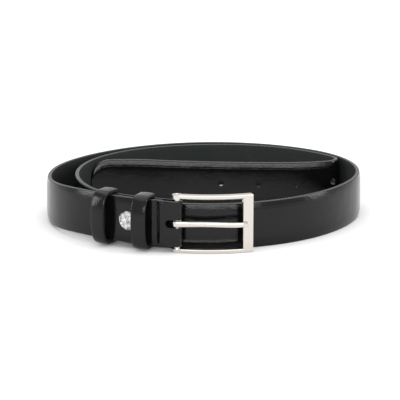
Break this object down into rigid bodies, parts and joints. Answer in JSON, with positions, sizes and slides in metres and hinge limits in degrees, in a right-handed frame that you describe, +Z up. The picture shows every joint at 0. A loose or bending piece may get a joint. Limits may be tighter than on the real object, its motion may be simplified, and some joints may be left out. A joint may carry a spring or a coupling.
{
  "type": "leather belt",
  "caption": "Black leather dress belt with a framed prong buckle, press-stud end and two bowed keepers, standing on edge in a loose coil",
  "frame": {"origin": "centre of the coil's bounding box in plan, on the surface that the belt stands on", "axes": "+X toward the right of the coil as the buckle is faced, +Y away from the buckle to the coil's back, +Z up"},
  "size_m": [0.2131, 0.1926, 0.038],
  "materials": {
    "face_leather": "glossy polished black",
    "lining_leather": "matt black lining",
    "padding": "plain board",
    "buckle_metal": "satin nickel",
    "stud_metal": "polished nickel"
  },
  "bodies": {
    "strap": {"strap_face": "face_leather", "strap_padding": "padding", "strap_lining": "lining_leather", "snap_cap": "stud_metal", "snap_socket": "stud_metal", "snap_stud": "stud_metal", "snap_post": "stud_metal"},
    "buckle": {"buckle_frame": "buckle_metal", "buckle_bar": "buckle_metal"},
    "prong": {"prong": "buckle_metal"},
    "near_keeper": {"near_keeper_face": "face_leather", "near_keeper_lining": "lining_leather", "near_keeper_staple": "stud_metal"},
    "loose_keeper": {"loose_keeper_face": "face_leather", "loose_keeper_lining": "lining_leather", "loose_keeper_staple": "stud_metal"}
  },
  "joints": [
    {"name": "buckle_swing", "type": "hinge", "parent": "strap", "child": "buckle", "pos_m": [-0.01755, -0.08955, 0.019], "axis": [0, 0, 1], "range_deg": [-65, 0]},
    {"name": "prong_swing", "type": "hinge", "parent": "buckle", "child": "prong", "pos_m": [-0.01755, -0.08955, 0.019], "axis": [0, 0, 1], "range_deg": [-55, 0]},
    {"name": "near_keeper_slide", "type": "hinge", "parent": "strap", "child": "near_keeper", "pos_m": [0.01349, 0.04491, 0.019], "axis": [0, 0, -1], "range_deg": [-0.8, 2.4]},
    {"name": "loose_keeper_slide", "type": "hinge", "parent": "strap", "child": "loose_keeper", "pos_m": [0.01349, 0.04491, 0.019], "axis": [0, 0, -1], "range_deg": [-3.2, 5.2]}
  ]
}
